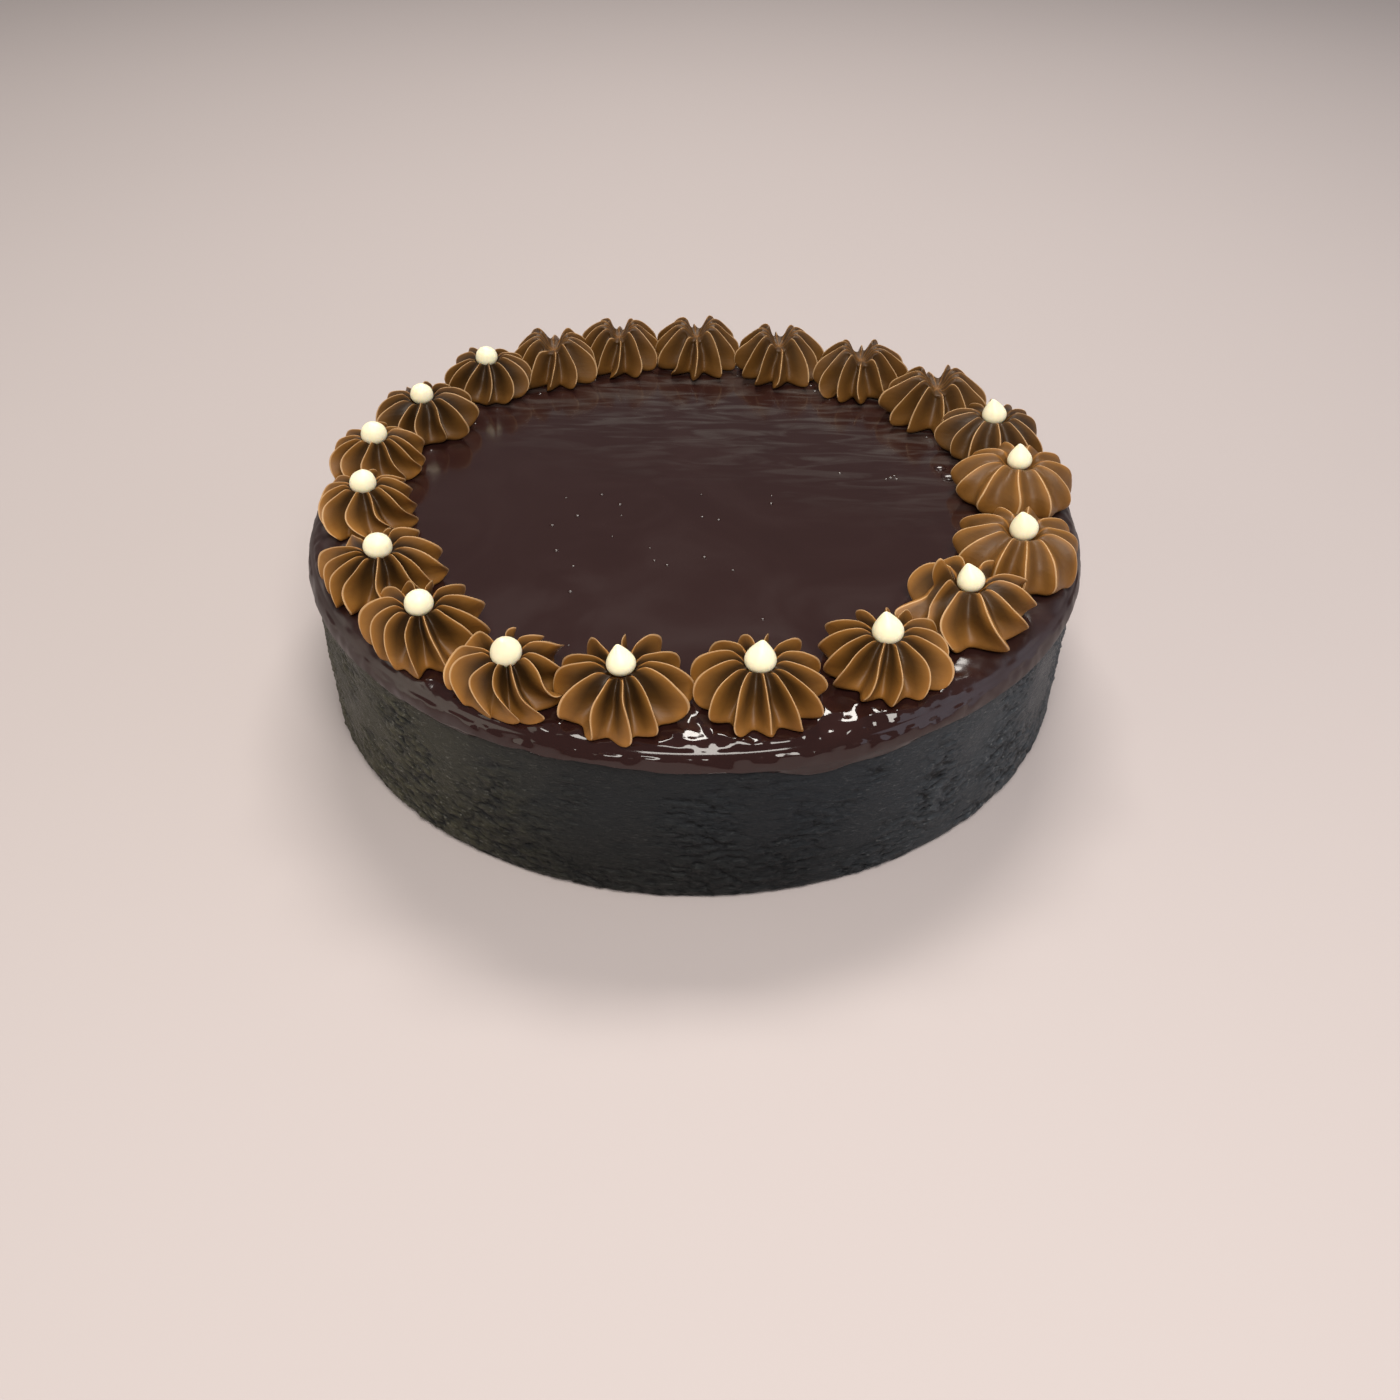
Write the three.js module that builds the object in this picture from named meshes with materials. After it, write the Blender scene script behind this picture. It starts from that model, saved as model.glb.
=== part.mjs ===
// Chocolate chiffon cake: a round sponge in a dark crumb coat, a poured ganache top that runs a
// little way down the side, a ring of piped chocolate cream rosettes and pale chocolate chips.
// Millimetres, +Z up. The origin is the centre of the cake's base.
import * as THREE from 'three';

// ---------------------------------------------------------------- driving dimensions
const GLAZE_RADIUS = 100; // outside of the glaze, an 8 inch cake
const CAKE_HEIGHT = 46; // base to glazed top
const GAP = 0.3; // between pieces that touch

const GLAZE_TOP_THICKNESS = 1.4;
const GLAZE_SIDE_THICKNESS = 0.9;
const SHOULDER_RADIUS = 5; // rounding of the top edge
const CAKE_SEGMENTS = 72; // steps round the cake and its glaze

const SIDE_RADIUS = GLAZE_RADIUS - GLAZE_SIDE_THICKNESS - GAP; // cake under the glaze
const SIDE_BULGE = 0.6; // how far the crumb coat wanders in and out
const FOOT_ROUNDING = 1.5; // base edge of the cake

const ROSETTE_HEIGHT = 11;
const VALLEY_DEPTH = 0.33; // of a rosette's radius, between two fins
const VALLEY_SINK = 0.18; // of its height, how much lower a valley runs than its fins
const SQUASH_START = 0.8; // of the way to a neighbour, where a fin begins to be pressed flat
const NOTCH_DEPTH = 0.22; // of the height, the dip across a rosette with an open top

const CHIP_SEAT = 7.9; // height of a chip's lowest point above the glaze
const CHIP_TURNING_POINT = 2.8; // height in the chip about which it leans

// How far the glaze has run below the cake's top, every 24 degrees round from the right side.
const GLAZE_RUNS = [8.5, 6.5, 9, 6, 8, 10, 6.5, 8.5, 11, 7, 7.6, 4.3, 9.4, 6.8, 8.8];

// Outline of a fin from the foot to the dimple, in fractions of the rosette's radius and height.
const FIN_OUTLINE = [
  [0, 0],
  [0.88, 0],
  [1, 0.34],
  [0.9, 0.7],
  [0.62, 0.95],
  [0.31, 0.97],
  [0.2, 0.69],
  [0, 0.64],
];
const POINTS_PER_FIN = 3; // its crest and the two sides of the valley beside it
const PLACE_IN_FIN = [0, 0.33, 0.67];

// Outline of a chip from its lowest point to its tip, in millimetres.
const CHIP_OUTLINE = [
  [0, 0],
  [2.3, 0.75],
  [3.4, 2.6],
  [2.9, 4.5],
  [1.3, 6.2],
  [0, 7.3],
];
const CHIP_SEGMENTS = 10;

// The rosettes, round the cake from behind on the left, by the left side and the front.
// at: place on the cake, radius: of its foot, fins: ridges, twist: degrees the fins turn on the
// way up, chip: [lean in degrees, bearing of the lean], or none where the top is open.
const ROSETTES = [
  { at: [-61.9, 60.8], radius: 12.5, fins: 12, twist: 12, chip: [4, 250] },
  { at: [-76.7, 36.2], radius: 13.1, fins: 12, twist: 8, chip: [6, 40] },
  { at: [-85.4, 13], radius: 12, fins: 12, twist: 4, chip: [5, 160] },
  { at: [-83.1, -12.5], radius: 12.4, fins: 12, twist: -6, chip: [5, 90] },
  { at: [-73.7, -41.5], radius: 13.9, fins: 13, twist: 8, chip: [8, 20] },
  { at: [-60.2, -64.1], radius: 13.5, fins: 12, twist: -8, chip: [8, 200] },
  { at: [-39, -81.3], radius: 12.8, fins: 12, twist: -4, chip: [24, 250] },
  { at: [-14.7, -84.7], radius: 15, fins: 12, twist: 5, chip: [7, 130] },
  { at: [14.3, -82.9], radius: 13.8, fins: 13, twist: -5, chip: [3, 90] },
  { at: [42, -72.3], radius: 13.7, fins: 13, twist: 6, chip: [5, 200] },
  { at: [62.8, -52.7], radius: 15, fins: 9, twist: 30, chip: [14, 170] },
  { at: [78.9, -30.3], radius: 15.3, fins: 11, twist: 4, chip: [18, 190] },
  { at: [83.9, 3.1], radius: 15, fins: 11, twist: -5, chip: [8, 160] },
  { at: [81.5, 28.2], radius: 14.2, fins: 12, twist: -3, chip: [8, 170] },
  { at: [68.6, 48.1], radius: 14.3, fins: 12, twist: 4 },
  { at: [48.3, 66.4], radius: 13, fins: 12, twist: -6 },
  { at: [24.6, 76.1], radius: 13.1, fins: 12, twist: 6 },
  { at: [-0.5, 81.8], radius: 12.8, fins: 12, twist: 4 },
  { at: [-24.1, 80.5], radius: 12.3, fins: 12, twist: 8 },
  { at: [-43.5, 71.9], radius: 12.8, fins: 12, twist: 10 },
];

// ---------------------------------------------------------------- materials
const finish = (color, roughness) => new THREE.MeshStandardMaterial({ color, roughness, metalness: 0 });
const CRUMB_COAT = finish(0x24211f, 0.75);
const GANACHE = finish(0x2b1a18, 0.12);
const CREAM = finish(0x6b4526, 0.55);
const CHIP = finish(0xf6ecc8, 0.4);

// ---------------------------------------------------------------- helpers
const { degToRad, smoothstep } = THREE.MathUtils;
const FULL_TURN = 2 * Math.PI;

/** A repeatable uneven number from -1 to 1 for piece `piece` and place `place`. */
function uneven(piece, place) {
  const wave = Math.sin(piece * 12.9898 + place * 78.233) * 43758.5453;
  return 2 * (wave - Math.floor(wave)) - 1;
}

/** A closed turned form about Z. `place(step, row)` gives each of its points as a Vector3. */
function turned(rows, segments, place) {
  const outline = rows.map(([radius, height]) => new THREE.Vector2(radius, height));
  const geometry = new THREE.LatheGeometry(outline, segments);
  const points = geometry.attributes.position;
  for (let index = 0; index < points.count; index += 1) {
    const step = Math.floor(index / rows.length) % segments;
    const { x, y, z } = place(step, index % rows.length);
    points.setXYZ(index, x, y, z);
  }
  geometry.computeVertexNormals();
  return geometry;
}

/** The point at a radius, an angle in radians and a height. */
function polar(radius, angle, height) {
  return new THREE.Vector3(radius * Math.cos(angle), radius * Math.sin(angle), height);
}

function piece(name, geometry, material) {
  const mesh = new THREE.Mesh(geometry, material);
  mesh.name = name;
  return mesh;
}

// ---------------------------------------------------------------- cake and glaze
/** How far the glaze has run down at an angle, smoothly between the listed runs. */
function glazeRun(angle) {
  const count = GLAZE_RUNS.length;
  const place = ((angle / FULL_TURN) * count + count) % count;
  const before = Math.floor(place) % count;
  const blend = smoothstep(place - Math.floor(place), 0, 1);
  return THREE.MathUtils.lerp(GLAZE_RUNS[before], GLAZE_RUNS[(before + 1) % count], blend);
}

/** Rows of a rounded top edge from the flat top down to the side. */
function shoulderRows(sideRadius, top, rounding) {
  return [0, 35, 65, 90].map((degrees) => {
    const lean = degToRad(degrees);
    return [sideRadius - rounding * (1 - Math.sin(lean)), top - rounding * (1 - Math.cos(lean))];
  });
}

/** The sponge in its crumb coat: flat base, slightly wandering side and rounded top edge. */
function cakeBody() {
  const top = CAKE_HEIGHT - GLAZE_TOP_THICKNESS - GAP;
  const plainBelow = CAKE_HEIGHT - Math.max(...GLAZE_RUNS);
  const rows = [
    [0, 0],
    [SIDE_RADIUS - FOOT_ROUNDING, 0],
    [SIDE_RADIUS, FOOT_ROUNDING],
    [SIDE_RADIUS, plainBelow / 3],
    [SIDE_RADIUS, (2 * plainBelow) / 3],
    [SIDE_RADIUS, plainBelow],
    ...shoulderRows(SIDE_RADIUS, top, SHOULDER_RADIUS - GLAZE_SIDE_THICKNESS).reverse(),
    [0, top],
  ];
  return turned(rows, CAKE_SEGMENTS, (step, row) => {
    const angle = (step / CAKE_SEGMENTS) * FULL_TURN;
    const [radius, height] = rows[row];
    const wander = 0.6 * Math.sin(3 * angle + height / 14) + 0.4 * Math.sin(7 * angle - height / 9);
    const share = height > 0 && height < plainBelow ? SIDE_BULGE : 0;
    return polar(radius + share * wander, angle, height);
  });
}

/** The poured glaze: a skin over the top and shoulder whose lower edge is uneven. */
function ganacheCap() {
  const outer = shoulderRows(GLAZE_RADIUS, CAKE_HEIGHT, SHOULDER_RADIUS);
  const inner = shoulderRows(
    GLAZE_RADIUS - GLAZE_SIDE_THICKNESS,
    CAKE_HEIGHT - GLAZE_TOP_THICKNESS,
    SHOULDER_RADIUS - GLAZE_SIDE_THICKNESS,
  );
  const [edgeRadius] = inner.at(-1);
  const rows = [
    [0, CAKE_HEIGHT - GLAZE_TOP_THICKNESS],
    ...inner,
    [edgeRadius, 0],
    [GLAZE_RADIUS - 0.3, 0],
    ...outer.toReversed(),
    [0, CAKE_HEIGHT],
  ];
  return turned(rows, CAKE_SEGMENTS, (step, row) => {
    const angle = (step / CAKE_SEGMENTS) * FULL_TURN;
    const [radius, height] = rows[row];
    return polar(radius, angle, height || CAKE_HEIGHT - glazeRun(angle));
  });
}

// ---------------------------------------------------------------- rosettes
/** Presses a rosette's point flat where its neighbour is in the way. */
function pressAgainst(point, rosette, neighbour) {
  const away = new THREE.Vector2(neighbour.at[0] - rosette.at[0], neighbour.at[1] - rosette.at[1]);
  const limit = (away.length() * rosette.radius) / (rosette.radius + neighbour.radius) - GAP / 2;
  away.normalize();
  const reach = point.x * away.x + point.y * away.y;
  const free = SQUASH_START * limit;
  if (reach <= free) return;
  const room = limit - free;
  const pressed = free + room * (1 - Math.exp((free - reach) / room));
  point.x += (pressed - reach) * away.x;
  point.y += (pressed - reach) * away.y;
}

/** One piped rosette, standing at the height of the glaze, with its own uneven fins. */
function rosetteForm(index) {
  const rosette = ROSETTES[index];
  const neighbours = [index - 1, index + 1].map((i) => ROSETTES.at(i % ROSETTES.length));
  const segments = rosette.fins * POINTS_PER_FIN;
  return turned(FIN_OUTLINE, segments, (step, row) => {
    const fin = Math.floor(step / POINTS_PER_FIN);
    const inFin = step % POINTS_PER_FIN;
    const crest = inFin === 0;
    const [out, up] = FIN_OUTLINE[row];
    const ridge = smoothstep(out, 0.28, 0.8);
    const sway = crest ? 0.12 * uneven(index, fin) : 0;
    const turn = degToRad(rosette.twist) * up;
    const angle = ((fin + PLACE_IN_FIN[inFin] + sway) / rosette.fins) * FULL_TURN + turn;
    const length = crest ? 1 + 0.06 * ridge * uneven(index + 40, fin) : 1 - VALLEY_DEPTH * ridge;
    const sink = crest ? 0 : VALLEY_SINK * up * smoothstep(out, 0.1, 0.4);
    const point = polar(rosette.radius * out * length, angle, ROSETTE_HEIGHT * up * (1 - sink));
    if (!rosette.chip) point.z *= 1 - NOTCH_DEPTH * up * (1 - smoothstep(Math.abs(point.x), 1, 6));
    neighbours.forEach((neighbour) => pressAgainst(point, rosette, neighbour));
    return point;
  });
}

/** A chip: a small drop with a soft point. */
function chipForm() {
  return turned(CHIP_OUTLINE, CHIP_SEGMENTS, (step, row) => {
    const [radius, height] = CHIP_OUTLINE[row];
    return polar(radius, (step / CHIP_SEGMENTS) * FULL_TURN, height - CHIP_TURNING_POINT);
  });
}

// ---------------------------------------------------------------- the whole cake
const cake = new THREE.Group();
cake.add(piece('cake_body', cakeBody(), CRUMB_COAT));
cake.add(piece('ganache_cap', ganacheCap(), GANACHE));

ROSETTES.forEach((rosette, index) => {
  const number = String(index + 1).padStart(2, '0');
  const glazeTop = CAKE_HEIGHT + GAP;
  const mesh = piece(`rosette_${number}`, rosetteForm(index), CREAM);
  mesh.position.set(...rosette.at, glazeTop);
  cake.add(mesh);
  if (!rosette.chip) return;
  const [lean, bearing] = rosette.chip.map(degToRad);
  const chip = piece(`chip_${number}`, chipForm(), CHIP);
  chip.position.set(...rosette.at, glazeTop + CHIP_SEAT + CHIP_TURNING_POINT);
  chip.quaternion.setFromAxisAngle(new THREE.Vector3(-Math.sin(bearing), Math.cos(bearing), 0), lean);
  cake.add(chip);
});

export default cake;
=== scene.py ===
"""Chocolate chiffon cake: a dark crumb-coated sponge under a poured ganache glaze, with a ring of
piped chocolate cream rosettes, pale chocolate chips and small drops of glaze, on a pale floor."""

import math

import bpy
import numpy as np
from mathutils import Matrix, Vector, noise


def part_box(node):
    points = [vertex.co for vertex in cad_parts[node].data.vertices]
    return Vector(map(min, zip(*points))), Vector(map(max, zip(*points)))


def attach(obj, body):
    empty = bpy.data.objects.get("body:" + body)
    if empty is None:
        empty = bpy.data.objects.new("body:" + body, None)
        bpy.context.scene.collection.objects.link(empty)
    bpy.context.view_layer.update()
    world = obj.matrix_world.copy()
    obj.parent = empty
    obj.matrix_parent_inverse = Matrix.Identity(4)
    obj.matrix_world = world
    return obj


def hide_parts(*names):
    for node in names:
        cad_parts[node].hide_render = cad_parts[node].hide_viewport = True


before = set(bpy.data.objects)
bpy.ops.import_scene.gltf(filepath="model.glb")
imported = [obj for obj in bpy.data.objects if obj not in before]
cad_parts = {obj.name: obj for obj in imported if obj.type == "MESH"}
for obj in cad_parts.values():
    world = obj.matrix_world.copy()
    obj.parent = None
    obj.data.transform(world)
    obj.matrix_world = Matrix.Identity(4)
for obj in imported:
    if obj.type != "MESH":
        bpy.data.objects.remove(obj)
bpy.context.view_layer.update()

bl_info = {
    "name": "Chocolate chiffon cake",
    "version": (1, 0, 0),
    "blender": (4, 5, 0),
    "location": "View3D > Sidebar > Cake",
    "description": "Models a glazed chocolate cake with piped rosettes round its top",
    "category": "Add Mesh",
}

MM = 0.001
FULL_TURN = 2 * math.pi

# Sizes read from the frame, in metres.
CAP_LOW, CAP_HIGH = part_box("ganache_cap")
GLAZE_RADIUS = (CAP_HIGH.x - CAP_LOW.x) / 2
CAKE_TOP = CAP_HIGH.z

# How far the glaze has run below the top, in mm, every 24 degrees round from the right side.
GLAZE_RUNS = (8.5, 6.5, 9, 6, 8, 10, 6.5, 8.5, 11, 7, 7.6, 4.3, 9.4, 6.8, 8.8)

# The rosettes in mm, round the cake from behind on the left, by the left side and the front:
# place, foot radius, fins, twist in degrees, depth of the valleys as a share of the radius,
# unevenness, and the chip's lean and its bearing in degrees.
ROSETTES = (
    ((-61.9, 60.8), 12.5, 12, 12, 0.48, 1, (4, 250)),
    ((-76.7, 36.2), 13.1, 12, 8, 0.48, 1.2, (6, 40)),
    ((-85.4, 13), 12, 12, 4, 0.5, 1.35, (5, 160)),
    ((-83.1, -12.5), 12.4, 12, -6, 0.52, 1.4, (5, 90)),
    ((-73.7, -41.5), 13.9, 13, 8, 0.58, 1.35, (8, 20)),
    ((-60.2, -64.1), 13.5, 12, -8, 0.6, 1.1, (8, 200)),
    ((-39, -81.3), 12.8, 11, -4, 0.64, 1.5, (24, 250)),
    ((-14.7, -84.7), 15, 12, 5, 0.58, 1.1, (7, 130)),
    ((14.3, -82.9), 13.8, 13, -5, 0.52, 1, (3, 90)),
    ((42, -72.3), 13.7, 13, 6, 0.5, 0.9, (5, 200)),
    ((62.8, -52.7), 15, 10, -10, 0.46, 1.2, (14, 170)),
    ((78.9, -30.3), 15.3, 11, 4, 0.24, 1, (18, 190)),
    ((83.9, 3.1), 15, 11, -5, 0.2, 0.9, (8, 160)),
    ((81.5, 28.2), 14.2, 12, -3, 0.34, 1, (8, 170)),
    ((68.6, 48.1), 14.3, 12, 4, 0.46, 1, None),
    ((48.3, 66.4), 13, 12, -6, 0.46, 1, None),
    ((24.6, 76.1), 13.1, 12, 6, 0.46, 1, None),
    ((-0.5, 81.8), 12.8, 12, 4, 0.46, 1, None),
    ((-24.1, 80.5), 12.3, 12, 8, 0.48, 1, None),
    ((-43.5, 71.9), 12.8, 12, 10, 0.48, 1, None),
)
# One rosette's nozzle was pulled away late, which drew two of its fins up into narrow flames:
# each fin's number, and its height as a share of the taller one's.
FLAME_ROSETTE = 10
FLAME_FINS = {5: 1, 6: 0.45}

# A fin's crest from the foot to the dimple, as shares of the rosette's radius and height.
FIN_CREST = (
    (0, 0),
    (0.68, 0),
    (0.8, 0.04),
    (0.89, 0.12),
    (0.96, 0.24),
    (1, 0.38),
    (0.98, 0.52),
    (0.92, 0.66),
    (0.81, 0.79),
    (0.67, 0.9),
    (0.51, 0.97),
    (0.39, 1),
    (0.3, 0.96),
    (0.22, 0.82),
    (0.14, 0.7),
    (0, 0.66),
)
# Where the points across one fin and its valley lie, as shares of the way to the next fin.
FIN_POINTS = (0.014, 0.07, 0.19, 0.34, 0.5, 0.66, 0.81, 0.93, 0.986)
# How far a fin's soft edge reaches: as a share of the foot radius, and into its neighbours in mm.
FIN_REACH = 1.1
OVERLAP = 2
# How fast a fin narrows to its edge, as a power: the late nozzle's fins stay thicker.
FIN_THINNESS, FLAME_THINNESS = 2.6, 1.8
# The seed of the cream's soft unevenness, which makes every run the same.
SOFT_SEED = 1

# A chip's outline from its lowest point to its tip, in mm.
CHIP_OUTLINE = (
    (0, 0),
    (1.3, 0.12),
    (2.3, 0.7),
    (3.1, 1.6),
    (3.4, 2.6),
    (3.2, 3.6),
    (2.6, 4.7),
    (1.8, 5.7),
    (1.1, 6.5),
    (0.5, 7.1),
    (0, 7.3),
)
CHIP_SEAT = 7.9 * MM
CHIP_TURNING_POINT = 2.8 * MM
# The first chips, this many, have lost their points and are nearly round.
BLUNT_CHIPS = 6

# A glaze drop's outline as shares of its radius, from its sunk base to its crown.
DROP_OUTLINE = ((0, -0.4), (0.8, -0.4), (1, 0), (0.92, 0.16), (0.68, 0.3), (0.35, 0.39), (0, 0.42))
# The drops that can be told apart on the glazed top: place and radius in mm.
GLAZE_DROPS = (
    ((66.6, 17.4), 1.8),
    ((68.4, 12.6), 2.4),
    ((39, 14), 0.7),
    ((51.2, 11), 0.6),
    ((52.5, 11.9), 0.8),
    ((54, 11.2), 0.7),
    ((53.6, 12.8), 0.6),
)
# Small bubbles and specks lie scattered over this stretch of the top, and beads at the fins' feet.
SPECKS = 22
SPECKS_LOW, SPECKS_HIGH = (-38, -66), (26, 2)
FOOT_BEAD_SHARE = 0.42

# The camera that fits the photo: its place in mm, how far it looks down and how far it leans in
# degrees, its focal length and the photo's width in pixels, and the width of its sensor in mm.
CAMERA_PLACE = (1.79, -299.71, 223.68)
CAMERA_DOWN, CAMERA_LEAN = 39.41, 0.66
FOCAL_PIXELS, PHOTO_PIXELS = 1312, 1400
SENSOR = 36


def linear(hex_text):
    """An sRGB hex colour as the linear RGB that shaders take."""
    parts = [int(hex_text[i : i + 2], 16) / 255 for i in (1, 3, 5)]
    return tuple(c / 12.92 if c <= 0.04045 else ((c + 0.055) / 1.055) ** 2.4 for c in parts)


# The dust on the crumb coat's left and right, lightened by painted side light, warm from the left
# and cool from the right, and its palest specks, with painted glints; the painted grey sheen on the
# far half of the top; and the tint of the cream where its fat has set a little duller.
DUST_AND_LIGHT_LEFT = linear("#494635")
DUST_AND_LIGHT_RIGHT = linear("#42484d")
PALE_SPECK_GLINT = linear("#bcbcb8")
SMEAR_SHEEN = linear("#47403d")
FAT_MOTTLE = linear("#eae7e4")


# ------------------------------------------------------------------ settings


class CakeSizes(bpy.types.PropertyGroup):
    """Sizes of the cake that may be changed by hand."""

    radius: bpy.props.FloatProperty(
        name="Glaze radius", description="Outside of the glaze", default=GLAZE_RADIUS, unit="LENGTH"
    )
    top: bpy.props.FloatProperty(
        name="Cake height", description="Base to the glazed top", default=CAKE_TOP, unit="LENGTH"
    )
    shoulder: bpy.props.FloatProperty(
        name="Shoulder", description="Rounding of the top edge", default=5 * MM, unit="LENGTH"
    )
    glaze: bpy.props.FloatProperty(
        name="Glaze", description="Thickness of the glaze on the side", default=0.9 * MM, unit="LENGTH"
    )
    crumb: bpy.props.FloatProperty(
        name="Crumb relief", description="Height of its roughness", default=0.55 * MM, unit="LENGTH"
    )
    rosette: bpy.props.FloatProperty(
        name="Rosette height", description="From glaze to crown", default=11 * MM, unit="LENGTH"
    )


class CakeColours(bpy.types.PropertyGroup):
    """Colours of the cake that may be changed by hand."""

    crumb: bpy.props.FloatVectorProperty(
        name="Crumb coat", description="Side of the cake", default=linear("#0f141a"), subtype="COLOR"
    )
    glaze: bpy.props.FloatVectorProperty(
        name="Glaze", description="Poured top", default=linear("#281513"), subtype="COLOR"
    )
    cream: bpy.props.FloatVectorProperty(
        name="Cream", description="Faces of the fins", default=linear("#9e6b2e"), subtype="COLOR"
    )
    # The crest colour is a painted highlight on the fins' thin edges.
    crest: bpy.props.FloatVectorProperty(
        name="Crest", description="Thin edges of the fins", default=linear("#c7a277"), subtype="COLOR"
    )
    chip: bpy.props.FloatVectorProperty(
        name="Chip", description="Pale chocolate chips", default=linear("#fcf1cf"), subtype="COLOR"
    )
    floor: bpy.props.FloatVectorProperty(
        name="Floor", description="Pale floor", default=linear("#b4aaa9"), subtype="COLOR"
    )


# ------------------------------------------------------------------ modelling helpers


def start_piece(name):
    """Adds a piece of one point at the origin, in edit mode with that point selected."""
    bpy.ops.object.select_all(action="DESELECT")
    bpy.ops.mesh.primitive_plane_add(size=MM, location=(0, 0, 0))
    made = bpy.context.object
    made.name = name
    made.data.name = name
    bpy.ops.object.mode_set(mode="EDIT")
    bpy.ops.mesh.select_all(action="SELECT")
    bpy.ops.mesh.merge(type="CENTER")
    return made


def turn_piece(name, outline, steps):
    """A closed piece turned about Z from an outline of (radius, height) that ends on the axis."""
    made = start_piece(name)
    radius, height = outline[0]
    bpy.ops.transform.translate(value=(radius, 0, height))
    for (old_radius, old_height), (radius, height) in zip(outline, outline[1:]):
        move = (radius - old_radius, 0, height - old_height)
        bpy.ops.mesh.extrude_region_move(TRANSFORM_OT_translate={"value": move})
    bpy.ops.mesh.select_all(action="SELECT")
    bpy.ops.mesh.spin(steps=steps, angle=FULL_TURN, center=(0, 0, 0), axis=(0, 0, 1))
    bpy.ops.mesh.select_all(action="SELECT")
    bpy.ops.mesh.remove_doubles(threshold=MM / 1000)
    bpy.ops.mesh.normals_make_consistent(inside=False)
    bpy.ops.object.mode_set(mode="OBJECT")
    return made


def points_of(piece):
    """A piece's points as an array of x, y, z rows."""
    flat = np.empty(len(piece.data.vertices) * 3)
    piece.data.vertices.foreach_get("co", flat)
    return flat.reshape(-1, 3)


def move_points(piece, points):
    """Gives a piece's points their new places."""
    piece.data.vertices.foreach_set("co", np.ascontiguousarray(points, float).ravel())
    piece.data.update()


def round_off(piece, levels):
    """Rounds a piece's facets off by dividing each face in four, a number of times."""
    bpy.ops.object.select_all(action="DESELECT")
    piece.select_set(True)
    bpy.context.view_layer.objects.active = piece
    smooth = piece.modifiers.new("smooth", "SUBSURF")
    smooth.levels = levels
    smooth.render_levels = levels
    smooth.use_limit_surface = False
    bpy.ops.object.modifier_apply(modifier=smooth.name)


def finish_piece(piece, nodes, material):
    """Shades a piece smooth, gives it its finish, and lets it stand for its solids on the root."""
    bpy.ops.object.select_all(action="DESELECT")
    piece.select_set(True)
    bpy.context.view_layer.objects.active = piece
    bpy.ops.object.shade_smooth()
    piece.data.materials.clear()
    piece.data.materials.append(material)
    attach(piece, "root")
    for node in nodes:
        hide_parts(node)


def uneven(piece, place):
    """Repeatable uneven numbers from -1 to 1 for a piece and the places on it. What is added to a
    piece's number keeps one of its uneven measures apart from the others."""
    wave = np.sin(piece * 12.9898 + np.asarray(place) * 78.233) * 43758.5453
    return 2 * (wave - np.floor(wave)) - 1


def smooth_step(value, low, high):
    """0 below low, 1 above high, and a smooth change between."""
    share = np.clip((np.asarray(value) - low) / (high - low), 0, 1)
    return share * share * (3 - 2 * share)


def glaze_run(angle):
    """How far the glaze has run down at an angle, in metres, smoothly between the listed runs."""
    runs = np.array(GLAZE_RUNS) * MM
    place = np.mod(np.asarray(angle) / FULL_TURN * len(runs), len(runs))
    before = np.floor(place).astype(int) % len(runs)
    blend = smooth_step(place - np.floor(place), 0, 1)
    ragged = 0.7 * MM * np.sin(23 * angle) * np.sin(9 * angle + 1)
    return runs[before] * (1 - blend) + runs[(before + 1) % len(runs)] * blend + ragged


def rim_sag(distance, sizes):
    """How far the poured top sags towards its rim at a distance from the cake's axis."""
    wide = 16 * MM
    past = np.clip(distance - (sizes.radius - wide), 0, wide)
    return 1.3 * MM * (past / wide) ** 2


def shoulder_drop(distance, sizes):
    """How far the rim and its rounded shoulder lie below the flat middle of the top."""
    past = np.clip(distance - (sizes.radius - sizes.shoulder), 0, sizes.shoulder * 0.97)
    return sizes.shoulder - np.sqrt(sizes.shoulder**2 - past**2) + rim_sag(distance, sizes)


def rounded_edge(side, top, rounding, steps):
    """Outline points from the side, over a rounded top edge, to the flat top."""
    leans = [math.pi / 2 * (1 - i / steps) for i in range(steps + 1)]
    return [(side - rounding * (1 - math.sin(a)), top - rounding * (1 - math.cos(a))) for a in leans]


# ------------------------------------------------------------------ material helpers


# A colour mix's sockets, its settings and which of its outputs holds the colour.
FACTOR, FIRST, SECOND = 0, 6, 7
BLEND = {"output": 2, "data_type": "RGBA"}
MULTIPLY = {**BLEND, "blend_type": "MULTIPLY"}
# A map range's sockets and its settings, for a value that moves smoothly from start to end as it
# goes from low to high.
VALUE, LOW, HIGH, START, END = range(5)
SMOOTH = {"interpolation_type": "SMOOTHSTEP"}


def add(tree, kind, inputs=None, output=0, **settings):
    """Adds a shader node with its settings, socket values and links, and gives one of its outputs."""
    made = tree.nodes.new("ShaderNode" + kind)
    for name, value in settings.items():
        setattr(made, name, value)
    for name, value in (inputs or {}).items():
        if isinstance(value, bpy.types.NodeSocket):
            tree.links.new(value, made.inputs[name])
        else:
            made.inputs[name].default_value = value
    return made.outputs[output] if made.outputs else None


def new_material(name):
    """A node material with an empty tree."""
    material = bpy.data.materials.new(name)
    material.use_nodes = True
    material.node_tree.nodes.clear()
    return material


def opaque(colour, share=1.0):
    """A colour with full alpha, darkened or lightened by a share."""
    return (*[min(c * share, 1) for c in colour], 1)


def finish_material(material, **inputs):
    """Ends a material in a Principled shader with these inputs."""
    tree = material.node_tree
    named = {name.replace("_", " "): value for name, value in inputs.items()}
    surface = add(tree, "BsdfPrincipled", named)
    add(tree, "OutputMaterial", {"Surface": surface})
    return material


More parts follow.
